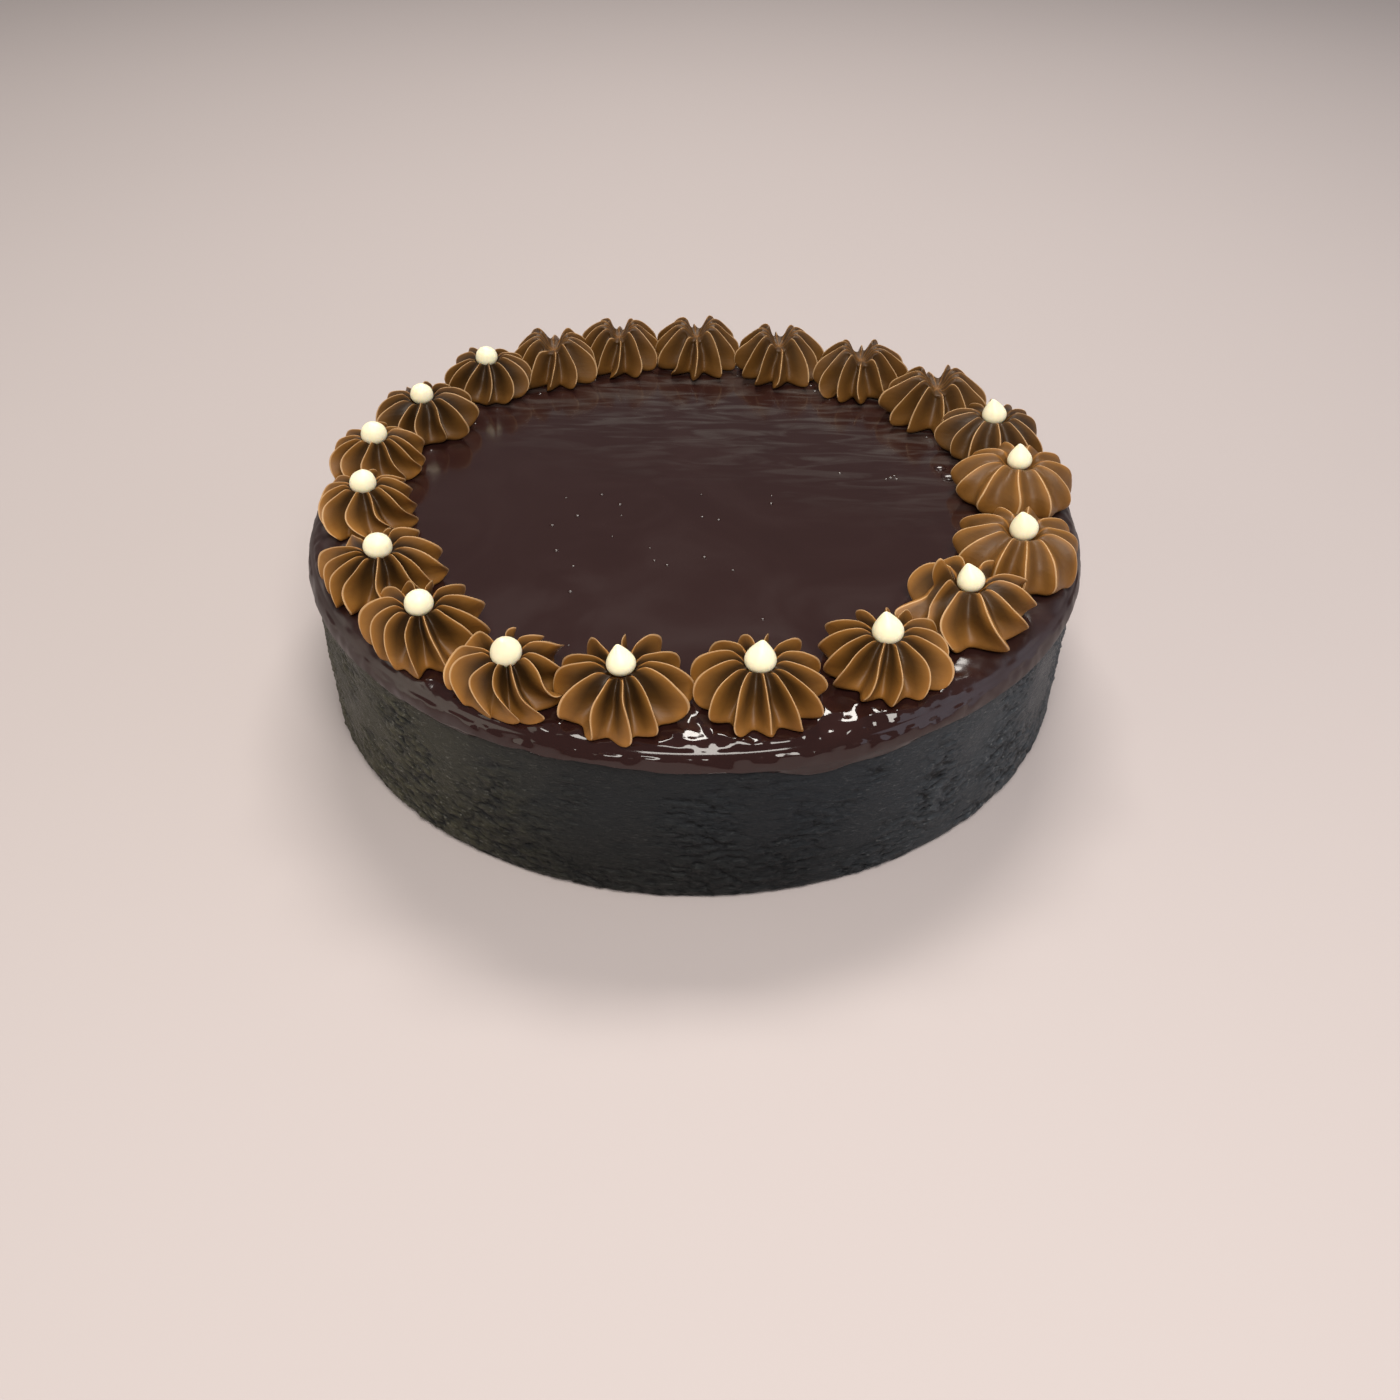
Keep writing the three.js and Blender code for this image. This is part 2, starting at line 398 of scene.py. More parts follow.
def crumb_coat_finish(colours):
    """Dark chocolate crumb coat, scraped round with a smoother: dull and nearly black, with grey dust
    and pale specks on the crumbs that stand proud, lightened on the left and right by painted side
    light and painted glints, with painted shade in its cracks and towards its foot."""
    material = new_material("scraped chocolate crumb coat")
    tree = material.node_tree
    place = add(tree, "TexCoord", output="Object")
    apart = add(tree, "SeparateXYZ", {"Vector": place}).node.outputs
    raised = add(tree, "Attribute", output="Fac", attribute_name="raised")

    # The scraper drew the crumbs out sideways. Real crumbs are well under 1 mm, too fine to show, so
    # they are drawn 1.3 mm wide.
    drawn = add(tree, "Mapping", {"Vector": place, "Scale": (1, 1, 2.8)})
    crumbs = {"Vector": drawn, "Scale": 1 / (1.3 * MM), "Detail": 5, "Roughness": 0.75}
    flecks = add(tree, "TexNoise", crumbs)
    patches = add(tree, "TexNoise", {"Vector": place, "Scale": 1 / (16 * MM), "Detail": 3})
    dark, light = opaque(colours.crumb, 0.6), opaque(colours.crumb, 1.3)
    coat = add(tree, "Mix", {FACTOR: patches, FIRST: dark, SECOND: light}, **BLEND)
    # Painted shade darkens the coat towards its foot.
    foot = add(tree, "MapRange", {VALUE: apart["Z"], LOW: 4 * MM, HIGH: 30 * MM, START: 0.3}, **SMOOTH)
    coat = add(tree, "Mix", {FACTOR: 1, FIRST: coat, SECOND: foot}, **MULTIPLY)

    # Dust lies on the crumbs that stand proud, and painted side light, warm on the left and cool on the
    #     # right, lightens them on the left and right of the cake.
    right = add(tree, "MapRange", {VALUE: apart["X"], LOW: -40 * MM, HIGH: 40 * MM}, **SMOOTH)
    dust_and_light_sides = {FACTOR: right, FIRST: opaque(DUST_AND_LIGHT_LEFT), SECOND: opaque(DUST_AND_LIGHT_RIGHT)}
    dust_and_side_light = add(tree, "Mix", dust_and_light_sides, **BLEND)
    away = add(tree, "Math", {0: apart["X"]}, operation="ABSOLUTE")
    beside = add(tree, "MapRange", {VALUE: away, LOW: 20 * MM, HIGH: 75 * MM, START: 0.15}, **SMOOTH)
    standing = {VALUE: raised, LOW: -0.6, HIGH: 0.9, START: 0.25, END: 0.95}
    proud = add(tree, "MapRange", standing, **SMOOTH)
    dust_and_light_share = add(tree, "Math", {0: beside, 1: proud}, operation="MULTIPLY")
    coat = add(tree, "Mix", {FACTOR: dust_and_light_share, FIRST: coat, SECOND: dust_and_side_light}, **BLEND)

    # Painted shade darkens the cracks.
    cracks = add(tree, "MapRange", {VALUE: raised, LOW: -0.2, HIGH: -0.9}, **SMOOTH)
    crack_shade = opaque(colours.crumb, 0.3)
    coat = add(tree, "Mix", {FACTOR: cracks, FIRST: coat, SECOND: crack_shade}, **BLEND)
    # Pale specks on the crumbs, with painted glints, on the left and right.
    glinting_specks = add(tree, "MapRange", {VALUE: flecks, LOW: 0.56, HIGH: 0.72}, **SMOOTH)
    glinting_specks = add(tree, "Math", {0: glinting_specks, 1: beside}, operation="MULTIPLY")
    speck_and_glint = add(tree, "Mix", {FACTOR: 0.35, FIRST: dust_and_side_light, SECOND: opaque(PALE_SPECK_GLINT)}, **BLEND)
    colour = add(tree, "Mix", {FACTOR: glinting_specks, FIRST: coat, SECOND: speck_and_glint}, **BLEND)
    dullness = {VALUE: patches, LOW: 0.3, HIGH: 0.7, START: 0.38, END: 0.55}
    return finish_material(
        material,
        Base_Color=colour,
        Roughness=add(tree, "MapRange", dullness, **SMOOTH),
        Normal=add(tree, "Bump", {"Height": flecks, "Strength": 0.8, "Distance": 0.45 * MM}),
        IOR=1.45,
        Specular_IOR_Level=0.3,
    )


def ganache_finish(colours):
    """Poured ganache: dark red-brown and glossy, with a painted grey sheen in smears along the palette
    knife's strokes over the far half of the top."""
    material = new_material("poured ganache glaze")
    tree = material.node_tree
    place = add(tree, "TexCoord", output="Object")
    clouds = {"Vector": place, "Scale": 1 / (33 * MM), "Detail": 5, "Distortion": 1.5}
    smears = add(tree, "TexNoise", clouds)
    ripples = add(tree, "TexNoise", {"Vector": place, "Scale": 1 / (16 * MM), "Detail": 2})
    dark, light = opaque(colours.glaze, 0.85), opaque(colours.glaze, 1.15)
    colour = add(tree, "Mix", {FACTOR: smears, FIRST: dark, SECOND: light}, **BLEND)

    # The knife's strokes run from left to right, about 20 mm long and 4.4 mm apart, and a painted grey
    #     # sheen lies along them on the far half of the top.
    stroke = (1 / (20 * MM), 1 / (4.4 * MM), 0)
    knifed = add(tree, "Mapping", {"Vector": place, "Scale": stroke})
    strokes = {"Vector": knifed, "Scale": 1, "Detail": 6, "Distortion": 1.2}
    streaks = add(tree, "TexNoise", strokes)
    streaks = add(tree, "MapRange", {VALUE: streaks, LOW: 0.42, HIGH: 0.72}, **SMOOTH)
    far = add(tree, "VectorMath", {0: place, 1: (0.35, 1, 0)}, "Value", operation="DOT_PRODUCT")
    far = add(tree, "MapRange", {VALUE: far, LOW: -5 * MM, HIGH: 60 * MM, END: 0.75}, **SMOOTH)
    # Painted sheen: the strokes are lightened towards grey on the far half.
    thin = add(tree, "Math", {0: streaks, 1: far}, operation="MULTIPLY")
    colour = add(tree, "Mix", {FACTOR: thin, FIRST: colour, SECOND: opaque(SMEAR_SHEEN)}, **BLEND)

    # The rim is glossier than the top, except on the left and right, where it has dried dull.
    spread = add(tree, "Mapping", {"Vector": place, "Scale": (1, 1, 0)})
    out = add(tree, "VectorMath", {0: spread}, "Value", operation="LENGTH")
    rim = add(tree, "MapRange", {VALUE: out, LOW: 76 * MM, HIGH: 90 * MM, START: 1, END: 0.5}, **SMOOTH)
    edge = add(tree, "MapRange", {VALUE: out, LOW: 80 * MM, HIGH: 92 * MM}, **SMOOTH)
    across = add(tree, "SeparateXYZ", {"Vector": place}, "X")
    away = add(tree, "Math", {0: across}, operation="ABSOLUTE")
    beside = add(tree, "MapRange", {VALUE: away, LOW: 45 * MM, HIGH: 75 * MM, END: 2.4}, **SMOOTH)
    dried = add(tree, "Math", {0: beside, 1: edge}, operation="MULTIPLY")
    dullness = add(tree, "Math", {0: rim, 1: dried}, operation="ADD")
    gloss = {VALUE: smears, LOW: 0.35, HIGH: 0.7, START: 0.13, END: 0.19}
    gloss = add(tree, "MapRange", gloss, **SMOOTH)
    return finish_material(
        material,
        Base_Color=colour,
        Roughness=add(tree, "Math", {0: gloss, 1: dullness}, operation="MULTIPLY"),
        Normal=add(tree, "Bump", {"Height": ripples, "Strength": 0.12, "Distance": 0.5 * MM}),
        IOR=1.48,
    )


def cream_finish(colours):
    """Piped chocolate buttercream: satin milk-chocolate brown, with painted shade in its valleys,
    towards its crown and on the rosettes at the back, painted highlights on its thin crests, and
    fine lines drawn by the nozzle's teeth along each fin."""
    material = new_material("piped chocolate buttercream")
    tree = material.node_tree
    place = add(tree, "TexCoord", output="Object")
    piped = add(tree, "Attribute", output="Vector", attribute_name="piped")
    piped = add(tree, "SeparateXYZ", {"Vector": piped}).node.outputs
    crest, shade, painted_shade = (piped[axis] for axis in "XYZ")
    drawn = add(tree, "Attribute", output="Vector", attribute_name="drawn")
    fat = add(tree, "TexNoise", {"Vector": place, "Scale": 1 / (6 * MM), "Detail": 4})
    # A nozzle's teeth draw lines that are too fine to show, so these are drawn 0.95 mm apart on a
    # foot with a radius of 13.3 mm.
    lines = add(tree, "TexNoise", {"Vector": drawn, "Scale": 13.3 / 0.95, "Detail": 3})

    # Painted shade darkens the faces in the valleys, towards the crown and at the back of the cake.
    lit, dark = opaque(colours.cream), opaque(colours.cream, 0.34)
    faces = add(tree, "Mix", {FACTOR: shade, FIRST: lit, SECOND: dark}, **BLEND)
    faces = add(tree, "Mix", {FACTOR: 1, FIRST: faces, SECOND: painted_shade}, **MULTIPLY)
    mottle = add(tree, "MapRange", {VALUE: fat, LOW: 0.3, HIGH: 0.7}, **SMOOTH)
    dull, clear = opaque(FAT_MOTTLE), (1, 1, 1, 1)
    mottle = add(tree, "Mix", {FACTOR: mottle, FIRST: dull, SECOND: clear}, **BLEND)
    faces = add(tree, "Mix", {FACTOR: 1, FIRST: faces, SECOND: mottle}, **MULTIPLY)
    # Painted highlight on the fins' thin crests.
    crest = add(tree, "MapRange", {VALUE: crest, LOW: 0.93, HIGH: 1, END: 0.7}, **SMOOTH)
    pale = opaque(colours.crest)
    return finish_material(
        material,
        Base_Color=add(tree, "Mix", {FACTOR: crest, FIRST: faces, SECOND: pale}, **BLEND),
        Roughness=0.52,
        Normal=add(tree, "Bump", {"Height": lines, "Strength": 0.35, "Distance": 0.25 * MM}),
        IOR=1.46,
        Specular_IOR_Level=0.35,
        Subsurface_Weight=0.06,
        Subsurface_Radius=(1, 0.5, 0.25),
        Subsurface_Scale=0.8 * MM,
    )


def chip_finish(colours):
    """Moulded pale chocolate: ivory, waxy and smooth, a little warmer in patches."""
    material = new_material("moulded pale chocolate")
    tree = material.node_tree
    place = add(tree, "TexCoord", output="Object")
    patches = add(tree, "TexNoise", {"Vector": place, "Scale": 1 / (4.5 * MM), "Detail": 3})
    warm, pale = opaque(colours.chip, 0.9), opaque(colours.chip, 1.04)
    return finish_material(
        material,
        Base_Color=add(tree, "Mix", {FACTOR: patches, FIRST: warm, SECOND: pale}, **BLEND),
        Roughness=0.4,
        Normal=add(tree, "Bump", {"Height": patches, "Strength": 0.2, "Distance": 0.3 * MM}),
        IOR=1.45,
        Subsurface_Weight=0.3,
        Subsurface_Radius=(1, 0.8, 0.5),
        Subsurface_Scale=1.5 * MM,
    )


def floor_finish(colours):
    """Matt paper: even and without shine. Its fibres are too fine to show, so only slow, faint
    differences 300 mm across are drawn."""
    material = new_material("matt paper floor")
    tree = material.node_tree
    place = add(tree, "TexCoord", output="Object")
    clouds = add(tree, "TexNoise", {"Vector": place, "Scale": 1 / (300 * MM), "Detail": 2})
    dark, light = opaque(colours.floor, 0.98), opaque(colours.floor, 1.02)
    colour = add(tree, "Mix", {FACTOR: clouds, FIRST: dark, SECOND: light}, **BLEND)
    return finish_material(material, Base_Color=colour, Roughness=0.9)


# ------------------------------------------------------------------ the pieces


class CAKE_OT_crumb_coat(bpy.types.Operator):
    """Turns the sponge in its crumb coat and roughens its side with crumbs and scraped streaks"""

    bl_idname = "cake.crumb_coat"
    bl_label = "Crumb-coated sponge"

    def execute(self, context):
        sizes = context.scene.cake_sizes
        # The coat keeps a little clear of the inside of the glaze.
        side = sizes.radius - sizes.glaze - 0.3 * MM
        top = sizes.top - sizes.glaze - 0.8 * MM
        rows = 20
        foot = 1.2 * MM
        shoulder = rounded_edge(side, top, sizes.shoulder - sizes.glaze, 3)
        wall = [(side, foot + (shoulder[0][1] - foot) * i / rows) for i in range(rows)]
        outline = [(0, 0), (side - foot, 0), *wall, *shoulder, (0, top)]
        made = turn_piece("crumb_coat", outline, 225)
        round_off(made, 2)
        points = points_of(made)

        # Only the side below the glaze is rough, most of all near its foot and on the left and right.
        angle = np.arctan2(points[:, 1], points[:, 0])
        edge = sizes.top - glaze_run(angle)
        bare = 1 - smooth_step(points[:, 2], edge - 1 * MM, edge + 1.5 * MM)
        share = smooth_step(points[:, 2], -1 * MM, 2.5 * MM) * bare
        share *= np.hypot(points[:, 0], points[:, 1]) > side - 2 * MM
        ragged = 0.7 * (1 - points[:, 2] / sizes.top) + 0.55 * np.abs(np.cos(angle))

        # Broad lumps, cracks and crumbs that the scraper drew out sideways, and single grains. The
        # real grains are under 1 mm, and these are drawn 2 mm wide so that they show.
        raised = np.zeros(len(points))
        for index in np.nonzero(share > 0.001)[0]:
            place = Vector(points[index])
            drawn = Vector((place.x, place.y, place.z * 3.2))
            rough = min(max(1.6 * noise.noise(place / (15 * MM)) + ragged[index], 0.15), 1)
            lumps = noise.noise(place / (12 * MM))
            cracks = max(0.1 - abs(noise.noise(drawn / (11 * MM))), 0) * 7
            cracks += max(0.12 - abs(noise.noise(drawn / (4.5 * MM))), 0) * 5
            crumbs = noise.fractal(drawn / (3.2 * MM), 0.7, 2.1, 3)
            grains = max(noise.noise(drawn / (2 * MM)) - 0.05, 0)
            fine = rough * (0.75 * crumbs + grains - 1.1 * cracks)
            raised[index] = share[index] * fine
            points[index, :2] *= 1 + sizes.crumb * share[index] * (0.6 * lumps + fine) / side
        move_points(made, points)
        made.data.attributes.new("raised", "FLOAT", "POINT").data.foreach_set("value", raised)
        finish = crumb_coat_finish(context.scene.cake_colours)
        finish_piece(made, ["cake_body"], finish)
        return {"FINISHED"}


class CAKE_OT_ganache(bpy.types.Operator):
    """Turns the poured glaze, lets its thin edge run down unevenly and ripples its surface"""

    bl_idname = "cake.ganache"
    bl_label = "Poured ganache"

    def execute(self, context):
        sizes = context.scene.cake_sizes
        thick = sizes.glaze
        inner_side = sizes.radius - thick
        under = sizes.top - thick - 0.5 * MM
        outer = rounded_edge(sizes.radius, sizes.top, sizes.shoulder, 5)
        inner = rounded_edge(inner_side, under, sizes.shoulder - thick, 3)
        # The hanging edge is first drawn 4 mm long: how far down each point is, and how much of the
        # thickness is gone there, as shares.
        run = 4 * MM
        start = outer[0][1]
        fall = ((1, 1), (0.9, 0.62), (0.7, 0.5), (0.4, 0.22), (0.15, 0.05))
        wall = [(sizes.radius - thick * thinner, start - run * down) for down, thinner in fall]
        lip = [(inner_side - 0.5 * MM, wall[0][1] + 0.5 * MM)]
        rim = [(outer[-1][0] - 30 * MM * i / 11, sizes.top) for i in range(1, 12)]
        flat = [(rim[-1][0] * (1 - i / 4), sizes.top) for i in range(1, 5)]
        outline = [(0, under), *reversed(inner), *lip, *wall, *outer, *rim, *flat]
        made = turn_piece("ganache", outline, 180)
        round_off(made, 2)

        # It is stretched to how far it has run, and the rim sags.
        points = points_of(made)
        angle = np.arctan2(points[:, 1], points[:, 0])
        distance = np.hypot(points[:, 0], points[:, 1])
        sag = rim_sag(distance, sizes)
        stretch = (glaze_run(angle) - sizes.shoulder - sag) / run
        hanging = points[:, 2] < start
        points[hanging, 2] = start + (points[hanging, 2] - start) * stretch[hanging]
        outside = (distance > inner_side) | (points[:, 2] > under + 0.5 * MM)
        points[:, 2] -= sag

        # It stands up against the rosettes' feet, and lies in soft lumps, finer on the front rim.
        near_edge = smooth_step(distance, sizes.radius - 15 * MM, sizes.radius - 6 * MM)
        feet = np.zeros(len(points))
        for place, radius, *_ in ROSETTES:
            away = np.hypot(points[:, 0] - place[0] * MM, points[:, 1] - place[1] * MM) / MM
            feet = np.maximum(feet, np.exp(-(((away - radius) / 1.3) ** 2)))
        feet *= 0.15 + 0.3 * smooth_step(-points[:, 1], -10 * MM, 40 * MM)
        fine_lumps = 0.3 + 0.25 * smooth_step(-points[:, 1], 50 * MM, 80 * MM)
        for index in np.nonzero(outside)[0]:
            place = Vector(points[index])
            slow = 0.1 * noise.noise(place / (24 * MM))
            lumps = 0.6 * noise.noise(place / (7 * MM))
            lumps += fine_lumps[index] * noise.noise(place / (2.8 * MM))
            wave = slow + lumps * (0.02 + 0.98 * near_edge[index]) + feet[index]
            points[index, 2] += wave * MM
            points[index, :2] *= 1 + lumps * 0.5 * MM * near_edge[index] / sizes.radius
        move_points(made, points)
        finish_piece(made, ["ganache_cap"], ganache_finish(context.scene.cake_colours))
        return {"FINISHED"}


def press_against(points, own, other):
    """Presses a rosette's points flat where a neighbour is in the way."""
    away = (np.array(other[0]) - np.array(own[0])) * MM
    space = np.linalg.norm(away)
    away /= space
    limit = space * own[1] / (own[1] + other[1]) + OVERLAP * MM
    free = 0.8 * limit
    reach = points[:, :2] @ away
    pressed = free + (limit - free) * (1 - np.exp((free - reach) / (limit - free)))
    points[:, :2] += np.where(reach > free, pressed - reach, 0)[:, None] * away


def read_star(made, index):
    """Where each point of a turned star lies: its shares of the radius and of the height, its row
    from foot to dimple and its column round the star."""
    steps = ROSETTES[index][2] * len(FIN_POINTS)
    turned = points_of(made)
    rows = np.array(FIN_CREST)
    column = np.round(np.arctan2(turned[:, 1], turned[:, 0]) / FULL_TURN * steps).astype(int) % steps
    shape = np.column_stack([np.hypot(turned[:, 0], turned[:, 1]), turned[:, 2]]) / MM
    row = np.argmin(((shape[:, None] - rows) ** 2).sum(2), axis=1)
    out, up = rows[row].T
    # A crown without a chip has no dimple.
    if not ROSETTES[index][-1]:
        up = np.where(out < 0.37, 0.86 + 0.14 * out / 0.37, up)
    return out, up, row, column


def draw_flames(out, up, crest, nearest):
    """How many times as long, and how much higher, the late nozzle drew its two fins."""
    flame = crest * sum(tall * (nearest == number) for number, tall in FLAME_FINS.items())
    peak = np.exp(-(((out - 0.4) / 0.11) ** 2)) * (up > 0.6)
    longer = 1 + flame * (0.15 * peak - 0.45 * smooth_step(out, 0.5, 0.8) * (up > 0.5))
    return longer, 0.58 * flame * peak


def draw_fins(index, out, up, column):
    """Draws a star out into a rosette's fins. Gives its points, as shares of the foot radius and the
    height, and how far each is down a valley and how near a fin's thin edge."""
    _, _, fins, twist, depth, wild, chip = ROSETTES[index]
    fin = column // len(FIN_POINTS)
    along = np.array(FIN_POINTS)[column % len(FIN_POINTS)]
    after = (fin + 1) % fins
    nearest = np.where(along < 0.5, fin, after)
    ridge = smooth_step(out, 0.12, 0.42) if chip else smooth_step(out, 0.3, 0.7)
    free = smooth_step(up, 0.02, 0.5)
    thinness = FLAME_THINNESS if index == FLAME_ROSETTE else FIN_THINNESS
    blade = np.clip(np.abs(1 - 2 * along) / 0.96, 0, 1) ** thinness
    sharp = free * min(depth / 0.42, 1)
    crest = sharp * blade + (1 - sharp) * np.cos(math.pi * along) ** 2
    valley = 1 - crest

    length = 1 + 0.07 * wild * ridge * uneven(index + 40, nearest) * crest
    length += 0.03 * wild * (1 - free) * crest * ridge * uneven(index + 200, nearest)
    foot_lobes = 0.3 if chip else 0.55
    length -= depth * valley * ridge * (foot_lobes + (1 - foot_lobes) * free)
    height = 1 + 0.05 * wild * uneven(index + 80, nearest) * crest * ridge
    height -= (0.3 if chip else 0.12) * depth * valley * smooth_step(out, 0.1, 0.4)
    turn = along + 0.13 * wild * (uneven(index, fin) * (1 - along) + uneven(index, after) * along)
    bend = 0.14 * wild * uneven(index + 160, nearest) * np.sin(math.pi * up)
    bend += 0.6 * (wild - 1) * np.sin(FULL_TURN * up) * (2 - free)
    hook = (0.09 if chip else 0.2) * (1 + uneven(index + 120, nearest)) * (1 - smooth_step(up, 0, 0.35))
    turn += crest * ridge * (bend - math.copysign(1, twist) * hook)
    angle = (fin + turn) / fins * FULL_TURN + math.radians(twist) * up
    if not chip:
        facing = smooth_step(-np.sin(angle), 0, 0.8)
        length *= 1 - 0.1 * facing * smooth_step(up, 0.3, 0.9)
        length *= 1 + 0.16 * facing * crest * (1 - smooth_step(up, 0, 0.4))
    if index == FLAME_ROSETTE:
        longer, higher = draw_flames(out, up, crest, nearest)
        length *= longer
        height += higher
    points = np.column_stack([out * length * np.cos(angle), out * length * np.sin(angle), up * height])
    return points, valley, blade


def notch_crown(index, points, up):
    """Splits the crown of a rosette without a chip into two uneven ears beside a notch."""
    sideways = np.abs(points[:, 0]) / (ROSETTES[index][1] * MM)
    middle = 1 - smooth_step(sideways, 0.08, 0.28)
    ears = (1 - middle) * (1 - smooth_step(sideways, 0.38, 0.85))
    ears *= 1 + 0.5 * uneven(index + np.sign(points[:, 0]), 11)
    fan = 0.14 * ears - 0.14 * middle
    points[:, 2] *= 1 + fan * smooth_step(up, 0.35, 0.9)


def set_down(points, up, place, sizes):
    """Sets a rosette down at its place, softly uneven, drawn in where it would overhang the rim and
    with its foot following the glaze."""
    points[:, :2] += np.array(place) * MM
    for point, share in zip(points, up):
        soft = noise.noise_vector(Vector(point) / (5 * MM)) * 0.4 * MM * min(share * 3, 1)
        point += np.array(soft)
    distance = np.hypot(points[:, 0], points[:, 1])
    over = np.clip(distance - (sizes.radius - 3 * MM), 0, None)
    points[:, :2] *= (1 - 0.6 * over / distance)[:, None]
    drop = shoulder_drop(distance - 0.6 * over, sizes)
    points[:, 2] += sizes.top - drop * (1 - up) - 0.1 * MM * (up == 0)


def mark_rosette(index, made, star, valley, blade):
    """Marks a rosette's points for its finish: how near each is to a fin's thin edge, where the
    painted highlight lies, how much painted shade lies in its valley, how much painted shade darkens
    it towards the crown and at the back of the cake, and where it lay in the nozzle."""
    place, _, fins, _, depth, _, chip = ROSETTES[index]
    out, up, row, column = star
    strength = min(0.15 + 1.5 * depth, 1) if chip else 0.6
    shade = smooth_step(valley, 0, 0.5) * strength * (0.35 + 0.65 * smooth_step(up, 0.05, 0.45))
    # Painted shade: shallow rosettes and those at the back of the cake are darker, and the upper
    # valleys darker still towards the crown.
    painted_shade = min(0.62 + 0.76 * depth, 1) - 0.44 * float(smooth_step(place[1], 5, 30))
    painted_shade *= 1 - 0.72 * strength * smooth_step(valley, 0, 0.7) * smooth_step(up, 0.3, 0.9)
    # Where the painted highlight on the fins' crests lies.
    rim = blade * smooth_step(out, 0.1, 0.35) * (0.5 + 0.5 * smooth_step(up, 0.02, 0.25))
    lay = FULL_TURN * column / (fins * len(FIN_POINTS))
    marks = {"piped": (rim, shade, painted_shade), "drawn": (np.cos(lay), np.sin(lay), 0.12 * row)}
    for name, values in marks.items():
        mark = made.data.attributes.new(name, "FLOAT_VECTOR", "POINT")
        mark.data.foreach_set("vector", np.column_stack(values).ravel())


def shape_rosette(index, made, sizes):
    """Draws a turned star out into a piped rosette, pressed between its neighbours on the cake."""
    place, radius, *_, chip = ROSETTES[index]
    star = read_star(made, index)
    out, up, _, column = star
    points, valley, blade = draw_fins(index, out, up, column)
    points[:, :2] *= radius * MM * FIN_REACH
    points[:, 2] *= sizes.rosette
    if not chip:
        notch_crown(index, points, up)
    for beside in (index - 1, (index + 1) % len(ROSETTES)):
        press_against(points, ROSETTES[index], ROSETTES[beside])
    set_down(points, up, place, sizes)
    move_points(made, points)
    mark_rosette(index, made, star, valley, blade)
    round_off(made, 2)


class CAKE_OT_rosettes(bpy.types.Operator):
    """Pipes the ring of rosettes: a star of thin fins drawn up to a small dimple"""

    bl_idname = "cake.rosettes"
    bl_label = "Piped rosettes"

    def execute(self, context):
        sizes = context.scene.cake_sizes
        finish = cream_finish(context.scene.cake_colours)
        outline = [(out * MM, up * MM) for out, up in FIN_CREST]
        noise.seed_set(SOFT_SEED)
        for index, (_, _, fins, *_) in enumerate(ROSETTES):
            number = f"{index + 1:02d}"
            made = turn_piece(f"piped_{number}", outline, fins * len(FIN_POINTS))
            shape_rosette(index, made, sizes)
            finish_piece(made, [f"rosette_{number}"], finish)
        return {"FINISHED"}


class CAKE_OT_chips(bpy.types.Operator):
    """Turns a pale chocolate chip for each rosette that carries one and leans it as it fell"""

    bl_idname = "cake.chips"
    bl_label = "Pale chocolate chips"

    def execute(self, context):
        sizes = context.scene.cake_sizes
        finish = chip_finish(context.scene.cake_colours)
        outline = [(radius * MM, height * MM - CHIP_TURNING_POINT) for radius, height in CHIP_OUTLINE]
        for index, (place, *_, chip) in enumerate(ROSETTES):
            if not chip:
                continue
            number = f"{index + 1:02d}"
            made = turn_piece(f"drop_{number}", outline, 24)
            lean, bearing = (math.radians(value) for value in chip)
            turn = Matrix.Rotation(lean, 3, (-math.sin(bearing), math.cos(bearing), 0))
            points = points_of(made)
            grow = 1 + 0.05 * float(uneven(index, 7))
            if index < BLUNT_CHIPS:
                upper = smooth_step(points[:, 2], 0.5 * MM, 4.5 * MM)
                points[:, :2] *= (1 + 0.3 * upper)[:, None]
                points[:, 2] *= 1 - 0.24 * upper
            tip = smooth_step(points[:, 2], 1 * MM, 5 * MM) * 0.5 * MM
            points[:, 0] += tip * float(uneven(index, 3))
            points[:, 1] += tip * float(uneven(index, 5))
            points = points * grow @ np.array(turn).T
            points += np.array([*(np.array(place) * MM), sizes.top + CHIP_SEAT + CHIP_TURNING_POINT])
            move_points(made, points)
            round_off(made, 1)
            finish_piece(made, [f"chip_{number}"], finish)
        return {"FINISHED"}


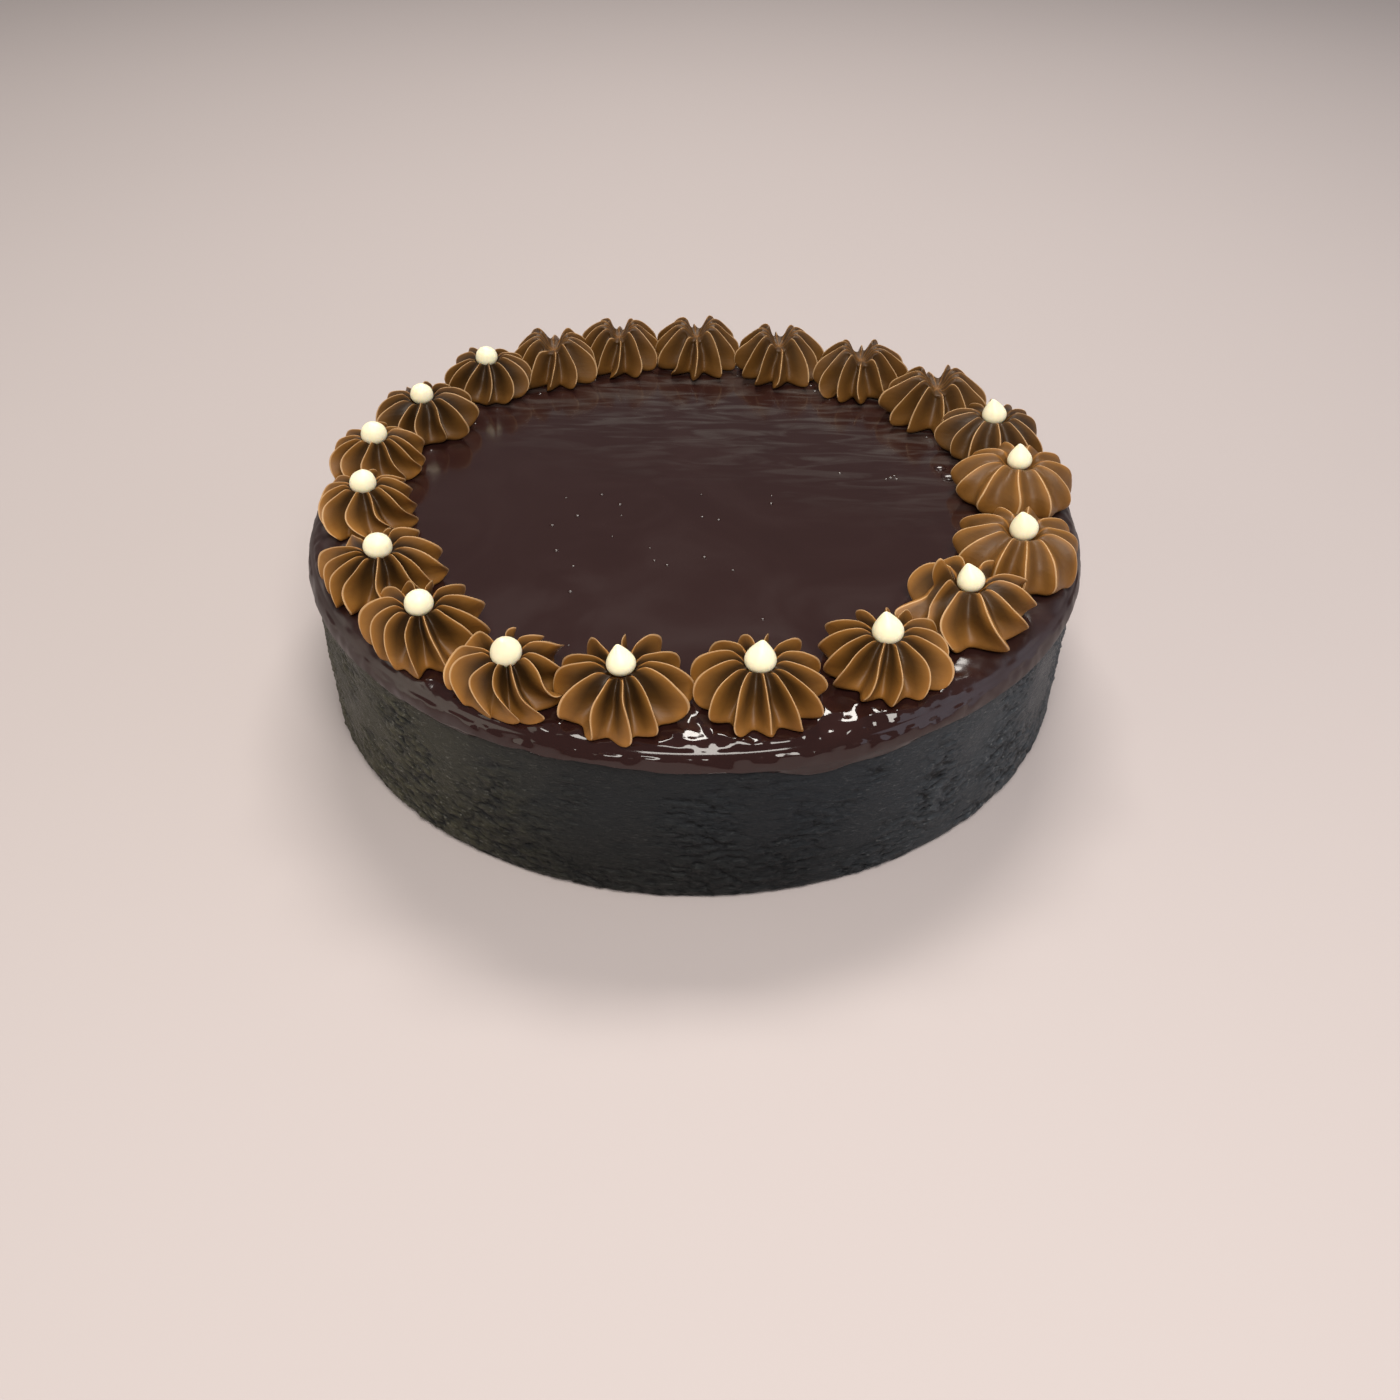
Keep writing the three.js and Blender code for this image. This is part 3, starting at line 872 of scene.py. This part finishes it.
class CAKE_OT_glaze_drops(bpy.types.Operator):
    """Dots drops, bubbles and beads of glaze over the top and at the feet of the fins"""

    bl_idname = "cake.glaze_drops"
    bl_label = "Drops of glaze"

    def execute(self, context):
        sizes = context.scene.cake_sizes
        low, high = np.array(SPECKS_LOW), np.array(SPECKS_HIGH)
        drops = list(GLAZE_DROPS)
        for index in range(SPECKS):
            spot = low + (high - low) * (uneven(index, np.array([3, 17])) + 1) / 2
            drops.append((spot, 0.55 + 0.2 * uneven(index, 5)))
        for index, (place, radius, fins, *_) in enumerate(ROSETTES):
            for fin in np.nonzero(uneven(index + 7, np.arange(fins)) < 2 * FOOT_BEAD_SHARE - 1)[0]:
                bearing = FULL_TURN * (fin + 0.5) / fins
                away = radius * (1 + 0.06 * uneven(index, fin))
                spot = np.array(place) + away * np.array([math.cos(bearing), math.sin(bearing)])
                if np.hypot(*spot) < sizes.radius / MM - 3:
                    drops.append((spot, 0.75 + 0.3 * uneven(fin, index)))
        first = turn_piece("glaze_drops", [(r * MM, h * MM) for r, h in DROP_OUTLINE], 12)
        shape = points_of(first)
        made = [first]
        for _ in drops[1:]:
            bpy.ops.object.duplicate()
            made.append(context.object)
        for piece, (spot, radius) in zip(made, drops):
            spot = np.array(spot) * MM
            height = sizes.top - shoulder_drop(np.hypot(*spot), sizes)
            move_points(piece, shape * radius + np.array([*spot, height]))
        bpy.ops.object.select_all(action="DESELECT")
        for piece in made:
            piece.select_set(True)
        context.view_layer.objects.active = first
        bpy.ops.object.join()
        finish_piece(first, [], ganache_finish(context.scene.cake_colours))
        return {"FINISHED"}


# ------------------------------------------------------------------ the stage


def softbox(name, place, target, width, height, power, tint="#ffffff"):
    """A rectangular soft light aimed at a point."""
    bpy.ops.object.select_all(action="DESELECT")
    bpy.ops.object.light_add(type="AREA", location=place)
    light = bpy.context.object
    light.name = name
    light.data.shape = "RECTANGLE"
    light.data.size = width
    light.data.size_y = height
    light.data.energy = power
    light.data.color = linear(tint)
    light.rotation_euler = (Vector(target) - light.location).to_track_quat("-Z", "Y").to_euler()


class CAKE_OT_stage(bpy.types.Operator):
    """Lays the pale floor, hangs the soft lights and sets the camera at the photo's angle"""

    bl_idname = "cake.stage"
    bl_label = "Floor, light and camera"

    def execute(self, context):
        bpy.ops.object.select_all(action="DESELECT")
        bpy.ops.mesh.primitive_plane_add(size=8, location=(0, 0, 0))
        floor = context.object
        floor.name = "floor"
        floor.data.materials.append(floor_finish(context.scene.cake_colours))

        world = bpy.data.worlds.new("soft room")
        context.scene.world = world
        world.use_nodes = True
        air = world.node_tree.nodes["Background"].inputs
        air["Color"].default_value = opaque(linear("#e4e6ea"))
        air["Strength"].default_value = 0.19
        context.scene.view_settings.view_transform = "Standard"

        top = (0, 0, CAKE_TOP)
        softbox("ceiling lamp", (0.02, 0.56, 0.99), top, 0.6, 0.25, 10, "#fffaf2")
        softbox("front lamp", (0.05, -0.45, 0.62), top, 0.42, 0.33, 5.6, "#fffaf2")
        softbox("left window", (-1.25, -0.3, 0.42), top, 1.4, 0.8, 4.8, "#fff8e6")
        softbox("right window", (1.25, -0.25, 0.42), top, 1.3, 0.8, 3.6, "#e6edff")

        bpy.ops.object.camera_add(location=[value * MM for value in CAMERA_PLACE])
        camera = context.object
        camera.rotation_euler = (math.radians(90 - CAMERA_DOWN), 0, 0)
        camera.rotation_euler.rotate_axis("Z", math.radians(CAMERA_LEAN))
        camera.data.sensor_width = SENSOR
        camera.data.lens = FOCAL_PIXELS / PHOTO_PIXELS * SENSOR
        camera.data.clip_start = 0.01
        context.scene.camera = camera
        return {"FINISHED"}


class CAKE_PT_panel(bpy.types.Panel):
    """Lists the steps that model the cake and the settings that they read"""

    bl_label = "Chocolate chiffon cake"
    bl_idname = "CAKE_PT_panel"
    bl_space_type = "VIEW_3D"
    bl_region_type = "UI"
    bl_category = "Cake"

    def draw(self, context):
        for settings in (context.scene.cake_sizes, context.scene.cake_colours):
            for name in settings.__annotations__:
                self.layout.prop(settings, name)
        for step in STEPS:
            self.layout.operator(step.bl_idname)


STEPS = (
    CAKE_OT_crumb_coat,
    CAKE_OT_ganache,
    CAKE_OT_glaze_drops,
    CAKE_OT_rosettes,
    CAKE_OT_chips,
    CAKE_OT_stage,
)
CLASSES = (CakeSizes, CakeColours, *STEPS, CAKE_PT_panel)


def register():
    for kind in CLASSES:
        bpy.utils.register_class(kind)
    bpy.types.Scene.cake_sizes = bpy.props.PointerProperty(type=CakeSizes)
    bpy.types.Scene.cake_colours = bpy.props.PointerProperty(type=CakeColours)


def unregister():
    del bpy.types.Scene.cake_colours
    del bpy.types.Scene.cake_sizes
    for kind in reversed(CLASSES):
        bpy.utils.unregister_class(kind)


def main():
    register()
    bpy.ops.cake.crumb_coat()
    bpy.ops.cake.ganache()
    bpy.ops.cake.glaze_drops()
    bpy.ops.cake.rosettes()
    bpy.ops.cake.chips()
    bpy.ops.cake.stage()


if __name__ == "__main__":
    main()
